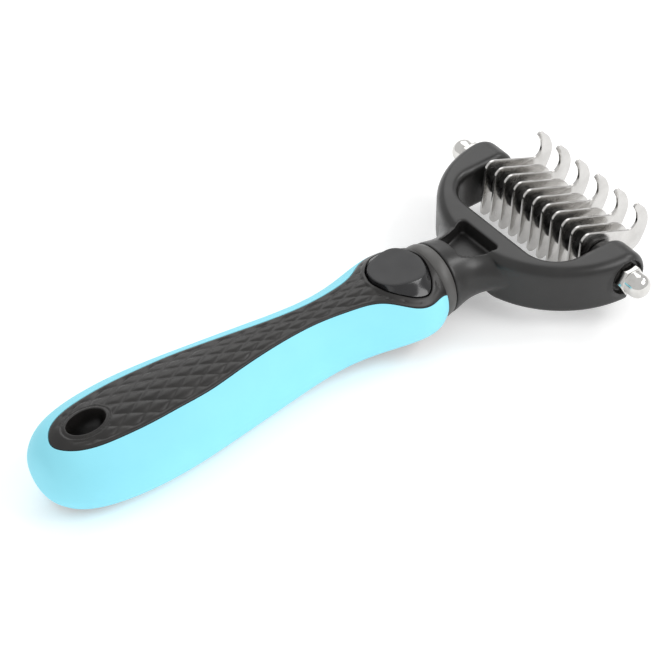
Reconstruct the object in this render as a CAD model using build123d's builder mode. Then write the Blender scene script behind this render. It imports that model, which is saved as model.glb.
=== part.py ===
from build123d import *

import os

# Dematting comb: a two-shell handle with a soft grip, a release button and a detachable blade head.
os.makedirs("parts", exist_ok=True)

# Frame: +X runs from the butt of the handle to the hooks, +Z is up with the comb lying flat.
# The origin is under the middle of the comb, level with the lowest point of the grip.

# ---------------------------------------------------------------- driving dimensions (mm)
AXLE_X = 81.0  # blade axle, from the middle of the comb
AXLE_Z = 14.6
GRIP_Z = 13.4  # centre line of the handle, a little below the axle

# Handle stations: X, half width and half height of its oval section.
GRIP_STATIONS = [
    (-100.4, 3.6, 3.2),
    (-99.6, 7.0, 6.0),
    (-97.5, 10.4, 8.7),
    (-94.0, 13.4, 11.0),
    (-88.0, 16.2, 12.5),
    (-79.0, 18.1, 13.15),
    (-69.0, 18.7, 13.35),
    (-59.0, 18.2, 13.35),
    (-49.0, 17.0, 13.2),
    (-39.0, 15.6, 12.8),
    (-29.0, 14.3, 12.2),
    (-19.0, 13.0, 11.5),
    (-9.0, 12.0, 10.9),
    (1.0, 12.2, 10.5),
    (11.0, 14.1, 10.5),
    (19.0, 16.0, 10.7),
    (25.0, 16.3, 10.9),
    (29.0, 15.0, 11.1),
    (32.2, 12.8, 11.3),
]
MOUTH_X = GRIP_STATIONS[-1][0]  # front end of the handle shells

# Half width of the hard panel on the top and on the underside, along X.
PANEL_OUTLINE = [
    (-96.0, 0.0),
    (-94.6, 3.8),
    (-91.6, 6.6),
    (-87.5, 8.4),
    (-80.0, 9.7),
    (-70.0, 10.2),
    (-60.0, 9.9),
    (-50.0, 9.3),
    (-40.0, 7.8),
    (-29.0, 6.1),
    (-19.0, 4.9),
    (-8.5, 4.4),
    (2.8, 5.3),
    (11.6, 7.6),
    (17.0, 11.2),
    (21.5, 13.6),
    (25.0, 14.0),
    (29.0, 13.0),
    (32.2, 11.9),
]
PANEL_TIP_RISE = 1.4  # how far the tip of the outline stands past its first pair of points

RUBBER = 2.6  # thickness of the soft grip over the shells
SHELL_WALL = 2.4
PANEL_WALL = 3.0  # shell wall under the hard panels
HANG_X = -84.6  # oval hanging hole through the butt
HANG_LONG, HANG_WIDE = 6.0, 4.1  # half length and half width of the hole
HANG_WALL = 1.7
FIT = 0.05  # radial fit of pins and shafts

RIBS = [(-5.0, -3.2), (4.0, 5.8), (15.6, 20.8), (28.6, 30.0)]  # cross ribs, X from and to
FRONT_WALL = 1.4
RIB_TOP = 4.45  # ribs under the button stop this far above the centre line
PEG_X = (-62.0, -34.0)  # alignment pegs between the shells
PEG_R, PEG_POST_R, PEG_DEPTH = 2.0, 4.0, 6.0
PEG_ROOM = 0.5  # the socket is this much deeper than the peg

RING_REAR, RING_FRONT = 32.2, 36.6  # collar ring between the handle and the head
RING_R, RING_CROWN = 11.4, 0.3
RING_INSET = 0.3  # the ring's rims are this much under its shoulder radius

HEAD_REAR = 36.8  # shoulder of the neck
SPIGOT_R = 8.0  # round root of the tang, inside the ring
TANG_REAR = -3.0
TANG_HALF_W, TANG_HALF_H = 5.6, 3.4
TANG_PLAY = 0.3
LATCH_GROOVE_W, LATCH_GROOVE_FLOOR = 4.2, -1.4  # groove along the tang for the latch foot

BUTTON_X = 22.6
# Half outlines, front to rear, of the button's well and of its thumb pad: X and half width.
WELL_RIM = [
    (31.6, 0.0),
    (30.8, 4.6),
    (29.1, 8.4),
    (27.1, 10.8),
    (25.4, 11.6),
    (23.6, 11.5),
    (21.4, 10.7),
    (19.2, 9.2),
    (17.1, 7.3),
    (15.2, 5.0),
    (14.0, 2.2),
    (13.5, 0.0),
]
PAD_RIM = [
    (30.9, 0.0),
    (30.4, 2.6),
    (29.5, 4.9),
    (28.2, 6.7),
    (26.6, 7.6),
    (24.2, 7.85),
    (21.4, 7.4),
    (18.8, 6.6),
    (16.6, 5.4),
    (15.1, 3.7),
    (14.3, 1.8),
    (14.1, 0.0),
]
PAD_TOP = 11.8  # above the centre line
PAD_ROUND = 0.3
SKIRT_BOTTOM = 6.7
BUTTON_GAP = 0.35  # all round, between the skirt and its well
# Sections of the button: height over the centre line, and share of the way from well outline to pad outline.
BUTTON_STATIONS = [
    (SKIRT_BOTTOM, 0.0),
    (SKIRT_BOTTOM + 1.5, 0.03),
    (PAD_TOP - 1.4, 0.7),
    (PAD_TOP, 1.0),
]
BUTTON_HOLLOW = (7.0, 7.8)  # half length and half width of the hollow under the pad
LIP_PROUD, LIP_ROOT = 1.5, 1.1  # rear lip: how far it stands out of the skirt and reaches into it
LIP_WIDE, LIP_T = 4.4, 1.2
BUTTON_TRAVEL = 2.0
LATCH_X = 26.0
LATCH_FOOT = (4.0, 3.2)  # length and width of the foot that drops into the tang
LATCH_TIP = 1.2
LATCH_ROOT = 0.5  # the foot starts this far inside the button's roof
SPRING_X = 18.2
SPRING_BOSS_H = 1.2
SPRING_PLAY = 0.05
SPRING_R, SPRING_WIRE, SPRING_TURNS = 2.0, 0.45, 4
BUTTON_ROOF = 9.2  # underside of the button's top

# Neck stations: X, half width, half height and height of the centre.
NECK_STATIONS = [
    (36.8, 11.3, 11.3, GRIP_Z),
    (40.5, 10.7, 10.5, GRIP_Z + 0.1),
    (44.5, 10.7, 9.3, GRIP_Z + 0.4),
    (48.5, 12.6, 8.2, GRIP_Z + 0.8),
    (52.0, 16.0, 7.4, AXLE_Z),
    (56.0, 20.5, 6.8, AXLE_Z),
]

YOKE_TOP, YOKE_BOTTOM = 7.2, -8.4  # from the axle
YOKE_HALF_H = (YOKE_TOP - YOKE_BOTTOM) / 2
YOKE_Z = AXLE_Z + (YOKE_TOP + YOKE_BOTTOM) / 2
ARM_INNER, ARM_OUTER = 24.4, 35.4  # faces of each arm, from the middle
WINDOW_REAR = -20.7  # edge of the crossbar next to the blades, from the axle
WINDOW_R = 10.5
# Outer edge of the yoke in plan: three points of its arc, distance from the axle and half width.
YOKE_OUTLINE = [(-30.4, 12.4), (-20.0, 27.6), (0.0, 35.4)]
YOKE_ROUND, YOKE_UNDER_ROUND = 3.2, 1.6  # rounding of the outer rims, above and below
WINDOW_ROUND = 2.2  # rounding of the inner rims
BOSS_R = 5.2
BOSS_ROOT = 2.0  # how far the bosses reach into the arms
STACK_ROOM = 2.0  # radius cleared around the bosses for the blade stack
# Coring pockets in the neck: X and half width of their rear and front corners, depth and corner radius.
POCKET_REAR, POCKET_FRONT = (42.4, 4.6), (54.6, 8.6)
POCKET_DEPTH, POCKET_ROUND = 4.8, 1.4
TANG_ROUND = 0.8
TANG_ROOT = 0.2  # the spigot passes the ring's rear face by this much
REACH = 50.0  # longer than any feature it cuts through

AXLE_R = 2.5
ROD_CHAMFER = 0.4
PITCH = 4.33  # blade to blade
BLADE_T = 0.8
BLADES = 11
SPACER_R = 4.6
# Blade outline from the axle, forward and up. The straight top edge runs from CORNER_END to NOSE_START.
NOSE_START = (10.4, 3.85)
HOOK_MOUTH = [NOSE_START, (13.2, 3.2), (15.0, 5.3), (14.9, 7.6), (13.6, 10.9)]
HOOK_POINT = [HOOK_MOUTH[-1], (14.5, 11.9), (16.7, 10.2)]
BELLY_START = (8.5, -5.6)
HOOK_BACK = [
    HOOK_POINT[-1],
    (18.6, 7.3),
    (19.4, 4.2),
    (19.0, 1.2),
    (17.8, -1.7),
    (15.8, -4.4),
    (12.6, -5.8),
    BELLY_START,
]
ROUND_NOSE = [NOSE_START, (13.2, 2.0), (15.2, -1.2), (14.6, -4.0), (11.6, -5.5), BELLY_START]
TOP_SLOPE = (1, -0.41)
HOOK_TIP_SLOPE, HOOK_BACK_SLOPE = (-0.5, 1), (0.75, -0.66)
BELLY_END = (-1.4, -5.4)
CROTCH = [(-3.0, -6.0), (-3.72, -7.5)]
FOOT = [(-5.75, -9.9), (-8.1, -7.6)]
HEEL_TOP = (-6.9, 7.0)
CORNER = [(-5.9, 9.2), (-3.4, 9.57)]

NUT_AF, NUT_HEX_H, NUT_DOME_R = 8.0, 4.0, 3.75  # acorn nut
NUT_TIP = 43.2  # end of the dome, from the middle
NUT_CROWN = 0.3  # flat left at the top of the dome
NUT_BORE_END = 2.7  # the blind bore stops this far short of the tip
ROD_END = 3.0  # and the rod this far
NUT_POCKET_R, NUT_POCKET_FLOOR = 5.5, 33.4


def cross_plane(x, z=GRIP_Z):
    """Plane across the comb at X: first axis to the left, second one up."""
    return Plane(origin=(x, 0, z), x_dir=(0, 1, 0), z_dir=(1, 0, 0))


def side_plane(y):
    """Upright plane along the comb through the axle: first axis forward, second one up."""
    return Plane(origin=(AXLE_X, y, AXLE_Z), x_dir=(1, 0, 0), z_dir=(0, -1, 0))


def grip_body(inset):
    """Form of the handle, smaller all round by inset."""
    with BuildPart() as body:
        for x, half_w, half_h in GRIP_STATIONS:
            if half_h - inset < 1.5:
                continue
            shift = inset if x < HANG_X - 5 else 0
            with BuildSketch(cross_plane(x + shift)):
                Ellipse(half_w - inset, half_h - inset)
        loft()
    return body.part


def panel_prism(inset):
    """Upright prism over the outline of the panel, narrower on each side by inset."""
    outline = [(x, half_w - inset) for x, half_w in PANEL_OUTLINE[1:] if half_w > inset + 1]
    tip = (outline[0][0] - PANEL_TIP_RISE, 0)
    with BuildPart() as prism:
        with BuildSketch(Plane.XY.offset(-1)):
            with BuildLine():
                rim = Spline([(x, -y) for x, y in reversed(outline)] + [tip] + outline)
                Line(rim @ 0, rim @ 1)
            make_face()
        extrude(amount=2 * GRIP_Z + 2)
    return prism.part


def button_outline(share, gap):
    """Half outline a share of the way from the well's rim to the pad's, drawn in by the gap."""
    half = []
    for (well_x, well_y), (pad_x, pad_y) in zip(WELL_RIM, PAD_RIM):
        x = well_x + (pad_x - well_x) * share
        y = well_y + (pad_y - well_y) * share
        half.append((BUTTON_X + (x - BUTTON_X) * (1 - gap / 9), y * (1 - gap / 11.6)))
    return half


def draw_outline(half):
    """Draw a closed outline from its left half, front to rear."""
    Spline(half + [(x, -y) for x, y in half[-2:0:-1]], periodic=True)


def rib_block(x_from, x_to, z_from, z_to):
    """Slab across the inside of the handle, heights from the centre line."""
    with BuildPart() as slab:
        with BuildSketch(cross_plane(x_from)):
            with Locations((0, (z_from + z_to) / 2)):
                Rectangle(60, z_to - z_from)
        extrude(amount=x_to - x_from)
    return slab.part


def upright_column(centres, profile):
    """Columns through the whole height of the handle. profile is a radius, or the half axes of an oval."""
    with BuildPart() as column:
        with BuildSketch(Plane.XY.offset(-1)):
            with Locations([(x, 0) for x in centres]):
                if isinstance(profile, tuple):
                    Ellipse(*profile)
                else:
                    Circle(profile)
        extrude(amount=2 * GRIP_Z + 2)
    return column.part


# ---------------------------------------------------------------- handle
with BuildPart() as hollow:
    add(grip_body(PANEL_WALL))
    add(panel_prism(SHELL_WALL), mode=Mode.INTERSECT)
    add(grip_body(RUBBER + SHELL_WALL))
    for x_from, x_to in RIBS:
        top = RIB_TOP if x_from > 10 else GRIP_Z
        add(rib_block(x_from, x_to, -GRIP_Z, top), mode=Mode.SUBTRACT)
    add(rib_block(MOUTH_X - FRONT_WALL, MOUTH_X + 1, -GRIP_Z, GRIP_Z), mode=Mode.SUBTRACT)
    add(upright_column([HANG_X], (HANG_LONG + HANG_WALL, HANG_WIDE + HANG_WALL)), mode=Mode.SUBTRACT)
    add(upright_column(PEG_X, PEG_POST_R), mode=Mode.SUBTRACT)

with BuildPart() as core:
    add(grip_body(0))
    add(panel_prism(0), mode=Mode.INTERSECT)
    add(grip_body(RUBBER))
    add(hollow.part, mode=Mode.SUBTRACT)
    add(upright_column([HANG_X], (HANG_LONG, HANG_WIDE)), mode=Mode.SUBTRACT)
    # passage of the tang through the ribs and the front wall
    with BuildSketch(cross_plane(RIBS[1][0] - 0.5)):
        Rectangle(2 * (TANG_HALF_W + TANG_PLAY), 2 * (TANG_HALF_H + TANG_PLAY / 2))
    extrude(amount=MOUTH_X - RIBS[1][0] + 1, mode=Mode.SUBTRACT)

with BuildPart() as shell_top:
    add(core.part)
    split(bisect_by=Plane.XY.offset(GRIP_Z), keep=Keep.TOP)
    with BuildSketch(Plane.XY.offset(GRIP_Z + RIB_TOP)):
        with BuildLine():
            draw_outline(WELL_RIM)
        make_face()
    extrude(amount=GRIP_Z, mode=Mode.SUBTRACT)
    with BuildSketch(Plane.XY.offset(GRIP_Z)):
        with Locations([(x, 0) for x in PEG_X]):
            Circle(PEG_R)
    extrude(amount=PEG_ROOM - PEG_DEPTH)
shell_top.part.label = "shell_top"
export_step(shell_top.part, "parts/shell_top.step")

with BuildPart() as shell_bottom:
    add(core.part)
    split(bisect_by=Plane.XY.offset(GRIP_Z), keep=Keep.BOTTOM)
    with BuildSketch(Plane.XY.offset(GRIP_Z)):
        with Locations([(x, 0) for x in PEG_X]):
            Circle(PEG_R + FIT)
    extrude(amount=-PEG_DEPTH, mode=Mode.SUBTRACT)
shell_bottom.part.label = "shell_bottom"
export_step(shell_bottom.part, "parts/shell_bottom.step")

with BuildPart() as grip_sleeve:
    add(grip_body(0))
    add(grip_body(RUBBER), mode=Mode.SUBTRACT)
    add(panel_prism(0), mode=Mode.SUBTRACT)
grip_sleeve.part.label = "grip_sleeve"
export_step(grip_sleeve.part, "parts/grip_sleeve.step")

with BuildPart() as collar_ring:
    with BuildSketch(Plane.XZ):
        with BuildLine():
            edge = Polyline(
                (RING_REAR, RING_R + GRIP_Z - RING_INSET),
                (RING_REAR, SPIGOT_R + FIT + GRIP_Z),
                (RING_FRONT, SPIGOT_R + FIT + GRIP_Z),
                (RING_FRONT, RING_R + GRIP_Z - RING_INSET),
            )
            middle = (RING_REAR + RING_FRONT) / 2
            ThreePointArc(edge @ 1, (middle, RING_R + RING_CROWN + GRIP_Z), edge @ 0)
        make_face()
    revolve(axis=Axis((0, 0, GRIP_Z), (1, 0, 0)))
collar_ring.part.label = "collar_ring"
export_step(collar_ring.part, "parts/collar_ring.step")

# ---------------------------------------------------------------- release button
with BuildPart() as release_button:
    for height, share in BUTTON_STATIONS:
        with BuildSketch(Plane.XY.offset(GRIP_Z + height)):
            with BuildLine():
                draw_outline(button_outline(share, BUTTON_GAP * (1 - share)))
            make_face()
    loft()
    fillet(release_button.faces().sort_by(Axis.Z)[-1].edges(), PAD_ROUND)
    with BuildSketch(Plane.XY.offset(GRIP_Z + SKIRT_BOTTOM)):
        with Locations((BUTTON_X, 0)):
            Ellipse(*BUTTON_HOLLOW)
    extrude(amount=BUTTON_ROOF - SKIRT_BOTTOM, mode=Mode.SUBTRACT)
    with BuildSketch(Plane.XY.offset(GRIP_Z + LATCH_TIP)):
        with Locations((LATCH_X, 0)):
            Rectangle(*LATCH_FOOT)
    extrude(amount=BUTTON_ROOF - LATCH_TIP + LATCH_ROOT)
    with BuildSketch(Plane.XY.offset(GRIP_Z + BUTTON_ROOF)):
        with Locations((SPRING_X, 0)):
            Circle(SPRING_R - SPRING_WIRE - TANG_PLAY)
    extrude(amount=-SPRING_BOSS_H)
    # lip under the rear edge of the button well
    with BuildSketch(Plane.XY.offset(GRIP_Z + SKIRT_BOTTOM - LIP_T / 2)):
        with Locations((WELL_RIM[-1][0] + BUTTON_GAP + (LIP_ROOT - LIP_PROUD) / 2, 0)):
            Rectangle(LIP_PROUD + LIP_ROOT, LIP_WIDE)
    extrude(amount=LIP_T)
release_button.part.label = "release_button"
export_step(release_button.part, "parts/release_button.step")

with BuildPart() as button_spring:
    seat = GRIP_Z + RIB_TOP + SPRING_WIRE / 2 + SPRING_PLAY
    rise = BUTTON_ROOF - RIB_TOP - SPRING_WIRE - 2 * SPRING_PLAY
    with BuildLine():
        coil = Helix(
            pitch=rise / SPRING_TURNS,
            height=rise,
            radius=SPRING_R,
            center=(SPRING_X, 0, seat),
        )
    with BuildSketch(Plane(origin=coil @ 0, z_dir=coil % 0)):
        Circle(SPRING_WIRE / 2)
    sweep()
button_spring.part.label = "button_spring"
export_step(button_spring.part, "parts/button_spring.step")

# ---------------------------------------------------------------- head
with BuildPart() as yoke_form:
    with BuildSketch(Plane.XY.offset(AXLE_Z + YOKE_BOTTOM)):
        with BuildLine():
            window_x = AXLE_X + WINDOW_REAR
            outer = ThreePointArc(*[(AXLE_X + x, y) for x, y in YOKE_OUTLINE])
            tip = Line(outer @ 1, (AXLE_X, ARM_INNER))
            arm = Line(tip @ 1, (window_x + WINDOW_R, ARM_INNER))
            bend = RadiusArc(arm @ 1, (window_x, ARM_INNER - WINDOW_R), -WINDOW_R)
            bar = Line(bend @ 1, (window_x, 0))
            Polyline(bar @ 1, (AXLE_X + YOKE_OUTLINE[0][0], 0), outer @ 0)
        make_face()
    extrude(amount=2 * YOKE_HALF_H)
    for face_at, outer_round in ((-1, YOKE_ROUND), (0, YOKE_UNDER_ROUND)):
        rims = yoke_form.faces().sort_by(Axis.Z)[face_at].edges()
        outer_rim = rims.filter_by(lambda e: e.center().Y > ARM_INNER and e.center().X < AXLE_X - 1)
        fillet(outer_rim, outer_round)
        rims = yoke_form.faces().sort_by(Axis.Z)[face_at].edges()
        window_rim = rims.filter_by(lambda e: e.center().Y < ARM_INNER + 1 and e.center().X > window_x - 1)
        fillet(window_rim, WINDOW_ROUND)
    # round end of the arm
    with BuildSketch(Plane.XY.offset(YOKE_Z)):
        with BuildLine():
            front = AXLE_X + YOKE_HALF_H
            inner_face = Line((AXLE_X, ARM_INNER), (front - WINDOW_ROUND, ARM_INNER))
            inner_round = RadiusArc(inner_face @ 1, (front, ARM_INNER + WINDOW_ROUND), -WINDOW_ROUND)
            end_face = Line(inner_round @ 1, (front, ARM_OUTER - YOKE_ROUND))
            outer_curve = RadiusArc(end_face @ 1, (front - YOKE_ROUND, ARM_OUTER), -YOKE_ROUND)
            Polyline(outer_curve @ 1, (AXLE_X, ARM_OUTER), (AXLE_X, ARM_INNER))
        make_face()
    revolve(axis=Axis((AXLE_X, 0, YOKE_Z), (0, 1, 0)))
    mirror(about=Plane.XZ)

with BuildPart() as yoke:
    for x, half_w, half_h, z in NECK_STATIONS:
        with BuildSketch(cross_plane(x, z)):
            Ellipse(half_w, half_h)
    loft()
    add(yoke_form.part)
    # bosses that clamp the blade stack
    with BuildSketch(side_plane(ARM_INNER + BOSS_ROOT)):
        Circle(BOSS_R)
    extrude(amount=2 * (ARM_INNER + BOSS_ROOT))
    stack = (BLADES - 1) * PITCH + BLADE_T
    with BuildSketch(side_plane(stack / 2)):
        Circle(BOSS_R + STACK_ROOM)
    extrude(amount=stack, mode=Mode.SUBTRACT)
    with BuildSketch(side_plane(REACH)):
        Circle(AXLE_R + FIT)
    extrude(amount=2 * REACH, mode=Mode.SUBTRACT)
    # recesses for the nuts
    for y in (REACH, -NUT_POCKET_FLOOR):
        with BuildSketch(side_plane(y)):
            Circle(NUT_POCKET_R)
        extrude(amount=REACH - NUT_POCKET_FLOOR, mode=Mode.SUBTRACT)
    # coring pockets in the neck, above and below
    for floor, way in ((YOKE_TOP - POCKET_DEPTH, 1), (YOKE_BOTTOM + POCKET_DEPTH, -1)):
        with BuildSketch(Plane.XY.offset(AXLE_Z + floor)):
            with BuildLine():
                corners = [POCKET_REAR, POCKET_FRONT]
                Polyline(corners + [(x, -y) for x, y in reversed(corners)], close=True)
            make_face()
            fillet(vertices(), POCKET_ROUND)
        extrude(amount=way * GRIP_Z, mode=Mode.SUBTRACT)
    # spigot in the ring, tang in the handle and the groove for the latch foot
    with BuildSketch(cross_plane(HEAD_REAR)):
        Circle(SPIGOT_R)
    extrude(amount=RING_REAR - HEAD_REAR + TANG_ROOT)
    with BuildSketch(cross_plane(TANG_REAR)):
        RectangleRounded(2 * TANG_HALF_W, 2 * TANG_HALF_H, TANG_ROUND)
    extrude(amount=HEAD_REAR - TANG_REAR)
    with BuildSketch(cross_plane(TANG_REAR)):
        with Locations((0, LATCH_GROOVE_FLOOR + SPIGOT_R)):
            Rectangle(LATCH_GROOVE_W, 2 * SPIGOT_R)
    extrude(amount=LATCH_X + LATCH_FOOT[0] / 2 + TANG_PLAY - TANG_REAR, mode=Mode.SUBTRACT)
yoke.part.label = "yoke"
export_step(yoke.part, "parts/yoke.step")


def blade_outline(hooked):
    """Draw one blade in its own plane, measured from the axle: first axis forward, second one up."""
    if hooked:
        Spline(HOOK_MOUTH, tangents=(TOP_SLOPE, HOOK_TIP_SLOPE))
        Spline(HOOK_POINT, tangents=(HOOK_TIP_SLOPE, HOOK_BACK_SLOPE))
        Spline(HOOK_BACK, tangents=(HOOK_BACK_SLOPE, (-1, 0.1)))
    else:
        Spline(ROUND_NOSE, tangents=(TOP_SLOPE, (-1, 0)))
    Line(BELLY_START, BELLY_END)
    ThreePointArc(BELLY_END, *CROTCH)
    ThreePointArc(CROTCH[-1], *FOOT)
    Line(FOOT[-1], HEEL_TOP)
    ThreePointArc(HEEL_TOP, *CORNER)
    Line(CORNER[-1], NOSE_START)


for number in range(1, BLADES + 1):
    y = ((BLADES + 1) / 2 - number) * PITCH + BLADE_T / 2
    with BuildPart() as blade:
        with BuildSketch(side_plane(y)):
            with BuildLine():
                blade_outline(hooked=number % 2 == 1)
            make_face()
            Circle(AXLE_R + FIT, mode=Mode.SUBTRACT)
        extrude(amount=BLADE_T)
    blade.part.label = f"blade_{number:02d}"
    export_step(blade.part, f"parts/blade_{number:02d}.step")

for number in range(1, BLADES):
    y = (BLADES / 2 - number + 0.5) * PITCH - BLADE_T / 2
    with BuildPart() as spacer:
        with BuildSketch(side_plane(y)):
            Circle(SPACER_R)
            Circle(AXLE_R + FIT, mode=Mode.SUBTRACT)
        extrude(amount=PITCH - BLADE_T)
    spacer.part.label = f"spacer_{number:02d}"
    export_step(spacer.part, f"parts/spacer_{number:02d}.step")

with BuildPart() as axle_rod:
    with BuildSketch(side_plane(NUT_TIP - ROD_END)):
        Circle(AXLE_R)
    extrude(amount=2 * (NUT_TIP - ROD_END))
    chamfer(axle_rod.edges().filter_by(GeomType.CIRCLE), ROD_CHAMFER)
axle_rod.part.label = "axle_rod"
export_step(axle_rod.part, "parts/axle_rod.step")

for name, way in (("acorn_nut_left", 1), ("acorn_nut_right", -1)):
    middle = (AXLE_X, way * NUT_POCKET_FLOOR, AXLE_Z)
    seat = Plane(origin=middle, x_dir=(1, 0, 0), z_dir=(0, way, 0))
    height = NUT_TIP - NUT_POCKET_FLOOR
    with BuildPart() as nut:
        with BuildSketch(seat):
            RegularPolygon(NUT_AF / 2, 6, major_radius=False)
        extrude(amount=NUT_HEX_H)
        with BuildSketch(seat):
            Circle(NUT_DOME_R)
        extrude(amount=height)
        crown = nut.faces().sort_by(Axis.Y)[-1 if way > 0 else 0]
        fillet(crown.edges(), NUT_DOME_R - NUT_CROWN)
        with BuildSketch(seat):
            Circle(AXLE_R + FIT)
        extrude(amount=height - NUT_BORE_END, mode=Mode.SUBTRACT)
    nut.part.label = name
    export_step(nut.part, f"parts/{name}.step")
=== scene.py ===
"""Dematting comb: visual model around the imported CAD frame."""
import math

import bmesh
import bpy
import numpy as np
from mathutils import Matrix, Vector
from mathutils.geometry import delaunay_2d_cdt


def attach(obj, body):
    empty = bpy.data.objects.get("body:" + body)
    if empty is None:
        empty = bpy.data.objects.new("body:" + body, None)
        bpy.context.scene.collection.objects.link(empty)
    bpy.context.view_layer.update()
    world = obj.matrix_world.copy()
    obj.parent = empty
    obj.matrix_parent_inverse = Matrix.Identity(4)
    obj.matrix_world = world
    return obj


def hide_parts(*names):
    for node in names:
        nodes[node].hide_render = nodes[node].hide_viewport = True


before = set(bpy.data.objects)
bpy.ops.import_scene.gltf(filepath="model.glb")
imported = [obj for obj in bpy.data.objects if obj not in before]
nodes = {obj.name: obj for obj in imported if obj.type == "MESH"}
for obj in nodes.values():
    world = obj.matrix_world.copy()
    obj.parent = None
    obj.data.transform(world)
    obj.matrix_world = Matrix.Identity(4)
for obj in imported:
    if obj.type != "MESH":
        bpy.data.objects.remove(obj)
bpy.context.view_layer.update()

MM = 0.001
GRIP_Z = 13.4  # height of the handle's middle plane

# Handle stations: X, half width and half height of the oval section, in mm.
STATIONS = [
    (-99.6, 7.0, 6.0), (-97.5, 10.4, 8.7), (-94.0, 13.4, 11.0), (-88.0, 16.2, 12.5),
    (-79.0, 18.1, 13.15), (-69.0, 18.7, 13.35), (-59.0, 18.2, 13.35), (-49.0, 17.0, 13.2),
    (-39.0, 15.6, 12.8), (-29.0, 14.3, 12.2), (-19.0, 13.0, 11.5), (-9.0, 12.0, 10.9),
    (1.0, 12.2, 10.5), (11.0, 14.1, 10.5), (19.0, 16.0, 10.7), (25.0, 16.3, 10.9),
    (29.0, 15.0, 11.1), (32.2, 12.8, 11.3),
]
BUTT_TIP = -100.6
PANEL_TIP = -96.0
MOUTH_X = 32.2
# Half width of the hard panels along X.
PANEL = [
    (-96.0, 0.0), (-94.6, 3.8), (-91.6, 6.6), (-87.5, 8.4), (-80.0, 9.7), (-70.0, 10.2),
    (-60.0, 9.9), (-50.0, 9.3), (-40.0, 7.8), (-29.0, 6.1), (-19.0, 4.9), (-8.5, 4.4),
    (2.8, 5.3), (11.6, 7.6), (17.0, 11.2), (21.5, 13.6), (25.0, 14.0), (29.0, 13.0),
    (32.2, 11.9),
]
HANG_X, HANG_LONG, HANG_WIDE = -84.6, 6.0, 4.1  # hanging hole: centre and half sizes
BUTTON_X = 22.6
# Half outlines, front to rear, of the button's well and of its thumb pad.
WELL_RIM = [
    (31.6, 0.0), (30.8, 4.6), (29.1, 8.4), (27.1, 10.8), (25.4, 11.6), (23.6, 11.5), (21.4, 10.7),
    (19.2, 9.2), (17.1, 7.3), (15.2, 5.0), (14.0, 2.2), (13.5, 0.0),
]
PAD_RIM = [
    (30.9, 0.0), (30.4, 2.6), (29.5, 4.9), (28.2, 6.7), (26.6, 7.6), (24.2, 7.85), (21.4, 7.4),
    (18.8, 6.6), (16.6, 5.4), (15.1, 3.7), (14.3, 1.8), (14.1, 0.0),
]


# ---------------------------------------------------------------- curves
def natural_spline(knots, values):
    """Natural cubic spline through the values at the knots, as a function."""
    n = len(knots)
    step = [knots[i + 1] - knots[i] for i in range(n - 1)]
    diag, over, rhs = [1.0] * n, [0.0] * n, [0.0] * n
    for i in range(1, n - 1):
        lower = step[i - 1]
        diag[i] = 2 * (step[i - 1] + step[i])
        rhs[i] = 3 * ((values[i + 1] - values[i]) / step[i] - (values[i] - values[i - 1]) / step[i - 1])
        factor = lower / diag[i - 1] if i > 1 else 0.0
        diag[i] -= factor * over[i - 1]
        rhs[i] -= factor * rhs[i - 1]
        over[i] = step[i]
    curve = [0.0] * n
    for i in range(n - 2, 0, -1):
        curve[i] = (rhs[i] - over[i] * curve[i + 1]) / diag[i]

    def value(t):
        i = 0
        while i < n - 2 and t > knots[i + 1]:
            i += 1
        d, h = t - knots[i], step[i]
        slope = (values[i + 1] - values[i]) / h - h * (2 * curve[i] + curve[i + 1]) / 3
        return values[i] + d * (slope + d * (curve[i] + d * (curve[i + 1] - curve[i]) / (3 * h)))

    return value


def from_tip(x):
    """Spline parameter along the handle: it makes the butt round at its tip."""
    return math.sqrt(max(x - BUTT_TIP, 0.0))


_knots = [0.0] + [from_tip(s[0]) for s in STATIONS]
_width = natural_spline(_knots, [0.0] + [s[1] for s in STATIONS])
_height = natural_spline(_knots, [0.0] + [s[2] for s in STATIONS])


def half_width(x):
    return _width(from_tip(x))


def half_height(x):
    return _height(from_tip(x))


_rim = [(x, -y) for x, y in reversed(PANEL[1:])] + [(x, y) for x, y in PANEL]
_chord = [0.0]
for (ax, ay), (bx, by) in zip(_rim, _rim[1:]):
    _chord.append(_chord[-1] + math.hypot(bx - ax, by - ay))
_rim_x = natural_spline(_chord, [p[0] for p in _rim])
_rim_y = natural_spline(_chord, [p[1] for p in _rim])


def rim_points(step):
    """Outline of the panel, from the right corner of the mouth round the butt to the left one."""
    count = round(_chord[-1] / step / 2) * 2
    ts = [_chord[-1] * i / count for i in range(count + 1)]
    return [(_rim_x(t), _rim_y(t)) for t in ts]


_half = [p for p in rim_points(0.25) if p[1] >= -1e-6]
_half_x = [p[0] for p in _half]


def panel_half(x):
    """Half width of the panel at x."""
    if x <= _half_x[0]:
        return 0.0
    for (ax, ay), (bx, by) in zip(_half, _half[1:]):
        if ax <= x <= bx:
            return ay + (by - ay) * (x - ax) / max(bx - ax, 1e-9)
    return _half[-1][1]


def surface(x, y, side=1):
    """Height of the handle's skin over a point in plan, in mm."""
    w, h = half_width(x), half_height(x)
    return GRIP_Z + side * h * math.sqrt(max(1 - (y / w) ** 2, 0.0))


# ---------------------------------------------------------------- mesh helpers
def new_piece(name, verts, faces):
    mesh = bpy.data.meshes.new(name)
    mesh.from_pydata([(x * MM, y * MM, z * MM) for x, y, z in verts], [], faces)
    mesh.validate()
    piece = bpy.data.objects.new(name, mesh)
    bpy.context.scene.collection.objects.link(piece)
    bm = bmesh.new()
    bm.from_mesh(mesh)
    bmesh.ops.remove_doubles(bm, verts=bm.verts, dist=1e-6)
    bm.to_mesh(mesh)
    bm.free()
    for polygon in mesh.polygons:
        polygon.use_smooth = True
    return piece


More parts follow.
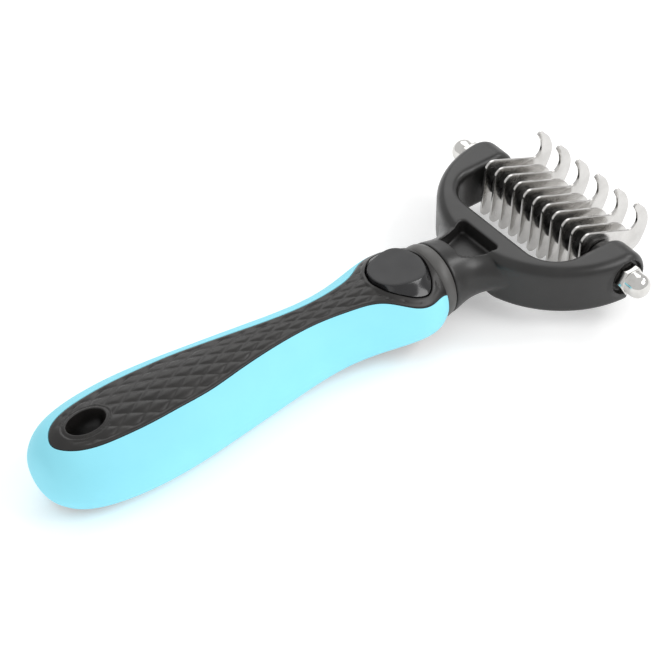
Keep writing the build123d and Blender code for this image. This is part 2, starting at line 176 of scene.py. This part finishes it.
def outward(piece):
    """Turns the faces of a closed mesh outward."""
    bm = bmesh.new()
    bm.from_mesh(piece.data)
    bmesh.ops.recalc_face_normals(bm, faces=bm.faces)
    bm.to_mesh(piece.data)
    bm.free()
    return piece


def modifier(piece, kind, **settings):
    made = piece.modifiers.new(kind.title(), kind)
    for key, value in settings.items():
        setattr(made, key, value)
    return made


def loop_offset(loop, distance):
    """Closed loop moved to its left by distance."""
    count = len(loop)
    moved = []
    for i in range(count):
        (ax, ay), (bx, by), (cx, cy) = loop[i - 1], loop[i], loop[(i + 1) % count]
        tx, ty = cx - ax, cy - ay
        size = math.hypot(tx, ty)
        moved.append((bx - ty / size * distance, by + tx / size * distance))
    return moved


def distance_field(points, loop):
    """Distance of each point from a closed loop."""
    a = np.array(loop)
    b = np.roll(a, -1, axis=0)
    ab = b - a
    length = (ab**2).sum(1)
    best = np.full(len(points), 1e9)
    for i in range(len(a)):
        t = np.clip(((points - a[i]) @ ab[i]) / length[i], 0, 1)
        d = points - a[i] - t[:, None] * ab[i]
        best = np.minimum(best, (d**2).sum(1))
    return np.sqrt(best)


def triangulate(loops, spacing, rings=()):
    """Delaunay mesh inside the first loop and outside the others. Loop points come first, in order."""
    points = [p for loop in loops for p in loop]
    edges, start = [], 0
    for loop in loops:
        edges += [(start + i, start + (i + 1) % len(loop)) for i in range(len(loop))]
        start += len(loop)
    xs, ys = [p[0] for p in loops[0]], [p[1] for p in loops[0]]
    cols = int((max(xs) - min(xs)) / spacing)
    rows = int((max(ys) - min(ys)) / spacing / 0.866)
    grid = np.array([
        (min(xs) + (i + 0.5 * (j % 2)) * spacing, min(ys) + j * spacing * 0.866)
        for i in range(cols + 1) for j in range(rows + 1)
    ])
    keep = np.ones(len(grid), bool)
    for k, loop in enumerate(loops):
        inside = in_loop(grid, loop)
        keep &= inside if k == 0 else ~inside
        keep &= distance_field(grid, loop) > max((rings or (0,))[-1], 0.1) + spacing * 0.5
    extra = []
    for k, loop in enumerate(loops):
        for ring in rings:
            extra += loop_offset(loop, ring)
    coords = [Vector(p) for p in points] + [Vector(p) for p in extra] + [Vector(p) for p in grid[keep]]
    found = delaunay_2d_cdt(coords, edges, [], 0, 1e-5)
    verts, faces, origin = found[0], found[2], found[3]
    order = {}
    for new, old in enumerate(origin):
        for o in old:
            order[o] = new
    centres = np.array([[sum(verts[v][c] for v in f) / 3 for c in (0, 1)] for f in faces])
    ok = in_loop(centres, loops[0])
    for loop in loops[1:]:
        ok &= ~in_loop(centres, loop)
    faces = [list(f) for f, good in zip(faces, ok) if good]
    return [tuple(v) for v in verts], faces, [order[i] for i in range(len(points))]


def in_loop(points, loop):
    """Whether each point is inside a closed loop."""
    inside = np.zeros(len(points), bool)
    x, y = points[:, 0], points[:, 1]
    for i in range(len(loop)):
        (ax, ay), (bx, by) = loop[i - 1], loop[i]
        if ay == by:
            continue
        crosses = (ay > y) != (by > y)
        inside ^= crosses & (x < (bx - ax) * (y - ay) / (by - ay) + ax)
    return inside


# ---------------------------------------------------------------- soft grip
GRIP_COLS = 40
GRIP_T = 2.2  # thickness of the soft layer
GRIP_EDGE = 0.35
TIP_ROWS, TIP_STEP = 18, 0.12  # rows round the butt, ahead of the panel


def grip_mesh():
    """Outer skin of the soft grip: both sides, from the edge of one panel to that of the other."""
    tip_rows = [BUTT_TIP + (TIP_STEP * k) ** 2 for k in range(TIP_ROWS)]
    rows = [x for x in tip_rows if x < PANEL_TIP - 0.02] + [p[0] for p in _half[:-1:2] + _half[-1:]]
    verts, faces = [], []
    for side in (1, -1):
        base = len(verts)
        for x in rows:
            w, h = half_width(x), half_height(x)
            edge = math.pi / 2
            if x > PANEL_TIP:
                edge = math.acos(min(panel_half(x) / max(w, 1e-6), 1.0))
            for j in range(GRIP_COLS + 1):
                phi = edge * (2 * j / GRIP_COLS - 1)
                verts.append((x, side * w * math.cos(phi), GRIP_Z + h * math.sin(phi)))
        for i in range(len(rows) - 1):
            for j in range(GRIP_COLS):
                a = base + i * (GRIP_COLS + 1) + j
                quad = (a, a + GRIP_COLS + 1, a + GRIP_COLS + 2, a + 1)
                faces.append(quad if side > 0 else quad[::-1])
    return verts, faces


grip = new_piece("soft_grip", *grip_mesh())
bm = bmesh.new()
bm.from_mesh(grip.data)
bmesh.ops.recalc_face_normals(bm, faces=bm.faces)
probe = max(bm.faces, key=lambda f: f.calc_center_median().y)
if probe.normal.y < 0:
    bmesh.ops.reverse_faces(bm, faces=bm.faces)
bm.to_mesh(grip.data)
bm.free()
modifier(grip, "SOLIDIFY", thickness=GRIP_T * MM, offset=-1.0, use_even_offset=False)
modifier(
    grip, "BEVEL", width=GRIP_EDGE * MM, segments=3, limit_method="ANGLE", angle_limit=math.radians(55)
)
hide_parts("grip_sleeve")
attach(grip, "handle")

# ---------------------------------------------------------------- quilted panels
EDGE_R = 0.3  # rounding of the panel's edges
RINGS = (0.04, 0.11, 0.2, 0.31)  # loops of points inside each edge, for the rounding
QUILT_LONG, QUILT_WIDE = 8.5, 4.4
QUILT_PHASE = -47.85
QUILT_DEEP, QUILT_SINK = 0.42, 0.1  # valleys below pillows, and pillows below the rim
PILLOW = 2.8  # how square the pillows are
PANEL_GAP = 0.22  # seam between a panel and the grip
MOUTH_EDGE = MOUTH_X - 0.02
MOUTH_STEPS = 50
TOP_SPACING, UNDER_SPACING = 0.36, 2.5
SHELL_T = 1.7
HOLE_WALL, WELL_WALL, WELL_FLOOR = 1.6, 0.4, GRIP_Z + 4.5
LIP_GROOVE = 0.3  # groove outside the lip of the hanging hole


def closed_curve(half, count):
    """Smooth closed loop from one half of it, front to rear, counter-clockwise."""
    full = half + [(x, -y) for x, y in half[-2:0:-1]]
    ring = full[-3:] + full + full[:4]
    chord = [0.0]
    for (ax, ay), (bx, by) in zip(ring, ring[1:]):
        chord.append(chord[-1] + math.hypot(bx - ax, by - ay))
    fx = natural_spline(chord, [p[0] for p in ring])
    fy = natural_spline(chord, [p[1] for p in ring])
    lo, hi = chord[3], chord[3 + len(full)]
    ts = [lo + (hi - lo) * i / count for i in range(count)]
    return [(fx(t), fy(t)) for t in ts]


def ellipse(cx, a, b, count):
    turn = [2 * math.pi * i / count for i in range(count)]
    return [(cx + a * math.cos(t), b * math.sin(t)) for t in turn]


def smoothstep(lo, hi, v):
    t = np.clip((v - lo) / (hi - lo), 0, 1)
    return t * t * (3 - 2 * t)


def quilt(points):
    """Depth of the quilting below the skin at each point, from 0 on a pillow to 1 in a valley."""
    x, y = points[:, 0], points[:, 1]
    along = np.linspace(PANEL_TIP, MOUTH_X, 260)
    local = np.interp(x, along, np.array([panel_half(v) for v in along]))
    pitch = QUILT_WIDE * (0.5 + 0.05 * np.clip(local, 3, 10.2))
    u, v = (x - QUILT_PHASE) / QUILT_LONG, y / pitch
    a = np.abs(((u + v) % 1) * 2 - 1)
    b = np.abs(((u - v) % 1) * 2 - 1)
    return 1 - (1 - a**PILLOW) * (1 - b**PILLOW)


def panel_outline():
    """Outline of a panel in plan, counter-clockwise, a seam's width inside the grip's edge."""
    outer = loop_offset(rim_points(0.4)[::-1], PANEL_GAP)[1:-1]
    outer = [(x, y) for x, y in outer if x < MOUTH_X - 0.3]
    lo, hi = outer[-1][1], outer[0][1]
    outer += [(MOUTH_EDGE, lo + (hi - lo) * i / MOUTH_STEPS) for i in range(MOUTH_STEPS + 1)]
    area = sum(ax * by - bx * ay for (ax, ay), (bx, by) in zip(outer, outer[1:] + outer[:1]))
    return outer[::-1] if area < 0 else outer


def skin_drop(points, loops):
    """How far each point lies below the handle's skin: quilting, lip of the hole, rounded edges."""
    dists = [distance_field(points, loop) for loop in loops]
    rim_d, hole_d = dists[0], dists[1]
    fade = smoothstep(0.9, 1.35, rim_d) * smoothstep(1.5, 1.9, hole_d)
    fade *= smoothstep(-92.5, -89.5, points[:, 0]) * (1 - smoothstep(30.0, 31.0, points[:, 0]))
    for well_d in dists[2:]:
        fade *= smoothstep(0.9, 1.5, well_d)
    drop = fade * (QUILT_SINK + QUILT_DEEP * quilt(points))
    drop += LIP_GROOVE * smoothstep(0.75, 0.95, hole_d) * (1 - smoothstep(1.25, 1.6, hole_d))
    rounding = np.clip(EDGE_R - np.minimum.reduce(dists), 0, EDGE_R)
    return drop + EDGE_R - np.sqrt(np.clip(EDGE_R**2 - rounding**2, 0, None))


def panel_mesh(side):
    """Top panel (side 1) or bottom panel (side -1) as a closed shell with its tube and well walls."""
    outer = panel_outline()
    loops = [outer, ellipse(HANG_X, HANG_LONG, HANG_WIDE, 96)[::-1]]
    floors = [None, GRIP_Z]
    walls = [HOLE_WALL]
    if side > 0:
        loops.append(closed_curve(WELL_RIM, 150)[::-1])
        floors.append(WELL_FLOOR)
        walls.append(WELL_WALL)
    flat, tris, rim_index = triangulate(loops, TOP_SPACING, RINGS)
    drop = skin_drop(np.array(flat), loops)
    verts = [(x, y, surface(x, y, side) - side * d) for (x, y), d in zip(flat, drop)]
    faces = list(tris)
    # inner skin and the walls
    under_loops = [outer] + [loop_offset(loop, w) for loop, w in zip(loops[1:], walls)]
    u_flat, u_tris, u_rim = triangulate(under_loops, UNDER_SPACING)
    base = len(verts)
    verts += [(x, y, surface(x, y, side) - side * SHELL_T) for x, y in u_flat]
    faces += [[base + v for v in f][::-1] for f in u_tris]
    start = 0
    for k, loop in enumerate(loops):
        count = len(loop)
        tops = rim_index[start : start + count]
        unders = [base + v for v in u_rim[start : start + count]]
        chain = [tops]
        if floors[k] is not None:
            level = GRIP_Z + side * (floors[k] - GRIP_Z)
            for ring in (loop, under_loops[k]):
                chain.append(list(range(len(verts), len(verts) + count)))
                verts += [(x, y, level) for x, y in ring]
        chain.append(unders)
        for upper, lower in zip(chain, chain[1:]):
            for i in range(count):
                j = (i + 1) % count
                faces.append([upper[i], lower[i], lower[j], upper[j]])
        start += count
    return verts, faces


panels = {}
for name, node, side in (("panel_top", "shell_top", 1), ("panel_bottom", "shell_bottom", -1)):
    panels[name] = outward(new_piece(name, *panel_mesh(side)))
    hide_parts(node)
    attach(panels[name], "handle")


# ---------------------------------------------------------------- release button
PAD_TOP = GRIP_Z + 11.8
PAD_EDGE, PAD_DISH = 0.3, 0.22  # rounding of the pad's rim, and how far its middle is sunk
SKIRT_GAP, SKIRT_FOOT, ROOF = 0.35, GRIP_Z + 6.7, GRIP_Z + 9.2
FOOT_EDGE = 0.15
SKIRT_SHARES = (0.03, 0.08, 0.16, 0.28, 0.42, 0.56, 0.7, 0.82, 0.91, 0.96, 1.0)
BUTTON_COUNT = 144
# Latch foot and rear lip, as opposite corners.
BUTTON_FOOT = (24.0, -1.6, GRIP_Z + 1.2), (28.0, 1.6, ROOF + 0.6)
BUTTON_LIP = (12.4, -2.2, GRIP_Z + 6.1), (15.0, 2.2, GRIP_Z + 7.3)


def button_mesh():
    """Skirt and pad as rings from the foot of the skirt up to the middle of the pad, closed underneath."""
    count = BUTTON_COUNT
    hem = loop_offset(closed_curve(WELL_RIM, count), SKIRT_GAP)
    pad = closed_curve(PAD_RIM, count)
    inner = [(BUTTON_X + (x - BUTTON_X) * 0.8, y * 0.78) for x, y in hem]
    rings = [[(x, y, ROOF) for x, y in inner], [(x, y, SKIRT_FOOT) for x, y in inner]]
    for inset, rise in ((FOOT_EDGE, 0.0), (0.0, FOOT_EDGE)):
        ring = loop_offset(hem, inset) if inset else hem
        rings.append([(x, y, SKIRT_FOOT + rise) for x, y in ring])
    shoulder = [min(surface(x, y) - 0.1, PAD_TOP - 0.5) for x, y in hem]
    low = SKIRT_FOOT + FOOT_EDGE
    for share in (0.5, 1.0):
        rings.append([(x, y, low + (s - SKIRT_FOOT - FOOT_EDGE) * share) for (x, y), s in zip(hem, shoulder)])
    lip = PAD_TOP - 0.32
    for t in SKIRT_SHARES:
        slope = 0.08 * math.sin(math.pi * t) + t
        ring = []
        for (hx, hy), (px, py), s in zip(hem, pad, shoulder):
            z = s + (lip - s) * (1.25 * t - 0.25 * t * t * t) ** 1.12 if t < 1 else lip
            ring.append((hx + (px - hx) * slope, hy + (py - hy) * slope, z))
        rings.append(ring)
    for k in range(1, 5):
        a = math.pi / 2 * k / 4
        inset, rise = PAD_EDGE * (1 - math.cos(a)), PAD_EDGE * math.sin(a)
        rings.append([(x, y, lip + rise) for x, y in loop_offset(pad, inset)])
    for share in (0.85, 0.6, 0.35, 0.12):
        sag = PAD_DISH * (1 - share**2)
        rings.append([(BUTTON_X + (x - BUTTON_X) * share, y * share, PAD_TOP - sag) for x, y in pad])
    verts = [v for ring in rings for v in ring]
    faces = []
    for r in range(len(rings) - 1):
        for i in range(count):
            j = (i + 1) % count
            a = r * count
            faces.append((a + i, a + j, a + count + j, a + count + i))
    faces.append(tuple(range(count))[::-1])
    faces.append(tuple((len(rings) - 1) * count + i for i in range(count)))
    return verts, faces


def block(bm, low, high):
    """Adds a closed box to a bmesh, corners in mm."""
    made = bmesh.ops.create_cube(bm, size=1.0)["verts"]
    for v in made:
        v.co = Vector([(low[k] + (high[k] - low[k]) * (v.co[k] + 0.5)) * MM for k in range(3)])
    edges = list({e for v in made for e in v.link_edges})
    bmesh.ops.bevel(bm, geom=edges, offset=0.2 * MM, segments=2, affect="EDGES")


button = outward(new_piece("thumb_button", *button_mesh()))
bm = bmesh.new()
bm.from_mesh(button.data)
block(bm, *BUTTON_FOOT)
block(bm, *BUTTON_LIP)
bm.to_mesh(button.data)
bm.free()
for polygon in button.data.polygons:
    polygon.use_smooth = True
modifier(button, "EDGE_SPLIT", split_angle=math.radians(38), use_edge_sharp=False)
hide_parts("release_button")
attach(button, "button")


# ---------------------------------------------------------------- pieces made from a CAD node
def copy_node(name, node):
    """A welded copy of a CAD node's mesh, as a new piece."""
    piece = bpy.data.objects.new(name, nodes[node].data.copy())
    piece.data.name = name
    piece.data.materials.clear()
    bpy.context.scene.collection.objects.link(piece)
    bm = bmesh.new()
    bm.from_mesh(piece.data)
    bmesh.ops.remove_doubles(bm, verts=bm.verts, dist=2e-6)
    bm.to_mesh(piece.data)
    bm.free()
    piece.data.update()
    return piece


def apply_modifiers(piece):
    bpy.context.view_layer.update()
    graph = bpy.context.evaluated_depsgraph_get()
    made = bpy.data.meshes.new_from_object(piece.evaluated_get(graph))
    piece.modifiers.clear()
    old = piece.data
    piece.data = made
    bpy.data.meshes.remove(old)
    return piece


def moulded(name, node, voxel, rounds):
    """A CAD node with its edges softened as a moulded part's are."""
    piece = copy_node(name, node)
    modifier(piece, "REMESH", mode="VOXEL", voxel_size=voxel * MM, use_smooth_shade=True)
    modifier(piece, "SMOOTH", factor=0.5, iterations=rounds)
    apply_modifiers(piece)
    for polygon in piece.data.polygons:
        polygon.use_smooth = True
    return piece


yoke = moulded("yoke_moulding", "yoke", 0.36, 6)
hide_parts("yoke")
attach(yoke, "head")


def bevelled(name, node, width, segments=2):
    """A CAD node with its flat faces dissolved and its rims bevelled."""
    piece = copy_node(name, node)
    bm = bmesh.new()
    bm.from_mesh(piece.data)
    bmesh.ops.dissolve_limit(bm, angle_limit=math.radians(1.5), verts=bm.verts, edges=bm.edges)
    bm.to_mesh(piece.data)
    bm.free()
    modifier(
        piece, "BEVEL", width=width * MM, segments=segments, limit_method="ANGLE", angle_limit=math.radians(35)
    )
    apply_modifiers(piece)
    for polygon in piece.data.polygons:
        polygon.use_smooth = True
    modifier(piece, "EDGE_SPLIT", split_angle=math.radians(30), use_edge_sharp=False)
    return piece


blades = []
for number in range(1, 12):
    node = f"blade_{number:02d}"
    blade = bevelled(f"steel_{node}", node, 0.12)
    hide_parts(node)
    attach(blade, "head")
    blades.append(blade)

sleeves = []
for number in range(1, 11):
    node = f"spacer_{number:02d}"
    sleeve = bevelled(f"sleeve_{number:02d}", node, 0.3)
    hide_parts(node)
    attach(sleeve, "head")
    sleeves.append(sleeve)

nuts = []
for side in ("left", "right"):
    node = f"acorn_nut_{side}"
    nut = bevelled(f"cap_nut_{side}", node, 0.22, 3)
    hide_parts(node)
    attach(nut, "head")
    nuts.append(nut)

ring = bevelled("smooth_collar", "collar_ring", 0.25, 3)
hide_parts("collar_ring")
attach(ring, "handle")


# ---------------------------------------------------------------- materials
def material(name, colour, rough, metal=0.0, grain=None, vary=None, **sockets):
    """Principled material. grain = (scale per metre, strength, depth) of the surface texture;
    vary = (scale, colour of the darker patches, low roughness, high roughness)."""
    mat = bpy.data.materials.new(name)
    mat.use_nodes = True
    tree = mat.node_tree
    bsdf = tree.nodes["Principled BSDF"]
    bsdf.inputs["Base Color"].default_value = (*colour, 1)
    bsdf.inputs["Roughness"].default_value = rough
    bsdf.inputs["Metallic"].default_value = metal
    for key, value in sockets.items():
        bsdf.inputs[key.replace("_", " ")].default_value = value
    place = tree.nodes.new("ShaderNodeTexCoord")
    if vary:
        scale, dark, low, high = vary
        cloud = tree.nodes.new("ShaderNodeTexNoise")
        cloud.inputs["Scale"].default_value = scale
        cloud.inputs["Detail"].default_value = 5
        tree.links.new(place.outputs["Object"], cloud.inputs["Vector"])
        ramp = tree.nodes.new("ShaderNodeValToRGB")
        ramp.color_ramp.elements[0].position = 0.35
        ramp.color_ramp.elements[1].position = 0.65
        ramp.color_ramp.elements[0].color = (*dark, 1)
        ramp.color_ramp.elements[1].color = (*colour, 1)
        tree.links.new(cloud.outputs["Fac"], ramp.inputs["Fac"])
        tree.links.new(ramp.outputs["Color"], bsdf.inputs["Base Color"])
        span = tree.nodes.new("ShaderNodeMapRange")
        span.inputs["From Min"].default_value = 0.3
        span.inputs["From Max"].default_value = 0.7
        span.inputs["To Min"].default_value = low
        span.inputs["To Max"].default_value = high
        tree.links.new(cloud.outputs["Fac"], span.inputs["Value"])
        tree.links.new(span.outputs["Result"], bsdf.inputs["Roughness"])
    if grain:
        scale, strength, deep = grain
        fine = tree.nodes.new("ShaderNodeTexNoise")
        fine.inputs["Scale"].default_value = scale
        fine.inputs["Detail"].default_value = 3
        tree.links.new(place.outputs["Object"], fine.inputs["Vector"])
        bump = tree.nodes.new("ShaderNodeBump")
        bump.inputs["Strength"].default_value = strength
        bump.inputs["Distance"].default_value = deep
        tree.links.new(fine.outputs["Fac"], bump.inputs["Height"])
        tree.links.new(bump.outputs["Normal"], bsdf.inputs["Normal"])
    return mat


def paint(piece, mat):
    piece.data.materials.clear()
    piece.data.materials.append(mat)


GRIP_BLUE = material(
    "soft_grip_blue", (0.29, 0.78, 0.92), 0.62, grain=(2600, 0.25, 0.00006),
    vary=(60, (0.27, 0.75, 0.89), 0.58, 0.68),
)
PANEL_BLACK = material(
    "panel_black", (0.017, 0.0155, 0.0145), 0.36, grain=(3200, 0.3, 0.00005),
    vary=(180, (0.012, 0.011, 0.0105), 0.3, 0.42), Specular_IOR_Level=0.42,
)
PAD_GREY = material(
    "pad_matte", (0.022, 0.022, 0.023), 0.5, grain=(4200, 0.35, 0.00005),
    vary=(220, (0.018, 0.018, 0.019), 0.46, 0.56),
)
SKIRT_BLACK = material(
    "skirt_gloss", (0.014, 0.014, 0.015), 0.14, grain=(900, 0.05, 0.00004),
    vary=(150, (0.010, 0.010, 0.011), 0.1, 0.18),
)
YOKE_BLACK = material(
    "yoke_satin", (0.017, 0.0165, 0.016), 0.36, grain=(2400, 0.3, 0.00006),
    vary=(120, (0.012, 0.0115, 0.011), 0.3, 0.42),
)
SLEEVE_BLACK = material(
    "spacer_black", (0.008, 0.008, 0.008), 0.35, grain=(2400, 0.2, 0.00004),
    vary=(300, (0.005, 0.005, 0.005), 0.3, 0.42),
)
COLLAR_BLACK = material(
    "collar_black", (0.085, 0.083, 0.08), 0.42, grain=(3000, 0.3, 0.00006),
    vary=(200, (0.073, 0.071, 0.068), 0.36, 0.48),
)
STEEL = material(
    "blade_steel", (0.62, 0.61, 0.595), 0.2, metal=1.0, grain=(1800, 0.05, 0.00003),
    vary=(260, (0.54, 0.53, 0.515), 0.14, 0.28),
)
CHROME = material(
    "nut_chrome", (0.66, 0.65, 0.63), 0.08, metal=1.0, grain=(900, 0.04, 0.00003),
    vary=(300, (0.58, 0.57, 0.55), 0.05, 0.14),
)
ZINC = material(
    "rod_zinc", (0.5, 0.5, 0.5), 0.3, metal=1.0, grain=(1500, 0.1, 0.00004),
    vary=(300, (0.42, 0.42, 0.42), 0.25, 0.4),
)

paint(grip, GRIP_BLUE)
for panel in panels.values():
    paint(panel, PANEL_BLACK)
paint(button, SKIRT_BLACK)
button.data.materials.append(PAD_GREY)
for polygon in button.data.polygons:
    if polygon.center.z > (PAD_TOP - 0.28) * MM:
        polygon.material_index = 1
paint(yoke, YOKE_BLACK)
paint(ring, COLLAR_BLACK)
for blade in blades:
    paint(blade, STEEL)
for sleeve in sleeves:
    paint(sleeve, SLEEVE_BLACK)
for nut in nuts:
    paint(nut, CHROME)
for node in ("axle_rod", "button_spring"):
    paint(nodes[node], ZINC)


# ---------------------------------------------------------------- stage, light and camera
FLOOR_HALF = 4
floor_mesh = bpy.data.meshes.new("floor")
corners = [(-1, -1), (1, -1), (1, 1), (-1, 1)]
floor_mesh.from_pydata([(FLOOR_HALF * x, FLOOR_HALF * y, 0) for x, y in corners], [], [(0, 1, 2, 3)])
floor = bpy.data.objects.new("floor", floor_mesh)
bpy.context.scene.collection.objects.link(floor)
# The glow lifts the shadows, as the overexposed background of a product photo does.
floor_white = bpy.data.materials.new("floor_white")
floor_white.use_nodes = True
floor_bsdf = floor_white.node_tree.nodes["Principled BSDF"]
floor_bsdf.inputs["Base Color"].default_value = (0.86, 0.86, 0.86, 1)
floor_bsdf.inputs["Roughness"].default_value = 0.9
floor_bsdf.inputs["Emission Color"].default_value = (1, 1, 1, 1)
floor_bsdf.inputs["Emission Strength"].default_value = 0.31
floor.data.materials.append(floor_white)


def softbox(name, place, aim, size, power):
    """Square area light in metres and watts."""
    light = bpy.data.lights.new(name, "AREA")
    light.shape = "SQUARE"
    light.size = size
    light.energy = power
    lamp = bpy.data.objects.new(name, light)
    lamp.location = place
    way = Vector(aim) - Vector(place)
    lamp.rotation_euler = way.to_track_quat("-Z", "Y").to_euler()
    bpy.context.scene.collection.objects.link(lamp)


softbox("key", (0.5, -0.68, 0.76), (0, 0, 0), 0.5, 3.6)
softbox("back", (0.62, 0.8, 0.88), (0, 0, 0), 0.9, 3.2)
softbox("side", (0.9, -0.25, 0.72), (0.02, 0, 0.03), 0.22, 1.6)

world = bpy.data.worlds.new("studio")
bpy.context.scene.world = world
world.use_nodes = True
world.node_tree.nodes["Background"].inputs["Color"].default_value = (1.0, 1.0, 1.0, 1)
world.node_tree.nodes["Background"].inputs["Strength"].default_value = 0.78

# Camera fitted to the photo: focal length and picture width in pixels.
FOCAL_PX, PICTURE_PX, SENSOR = 3000, 652, 36.0
camera_data = bpy.data.cameras.new("camera")
camera_data.sensor_width = SENSOR
camera_data.lens = SENSOR * FOCAL_PX / PICTURE_PX
camera_data.clip_start = 0.01
camera_data.clip_end = 20
camera = bpy.data.objects.new("camera", camera_data)
right = Vector((0.7934, -0.6088, 0.0)).normalized()
back = Vector((-0.4559, -0.5942, 0.6626)).normalized()
up = back.cross(right)
camera.matrix_world = Matrix((
    (right.x, up.x, back.x, -0.3924),
    (right.y, up.y, back.y, -0.5079),
    (right.z, up.z, back.z, 0.5826),
    (0, 0, 0, 1),
))
bpy.context.scene.collection.objects.link(camera)
bpy.context.scene.camera = camera
bpy.context.scene.view_settings.view_transform = "Standard"
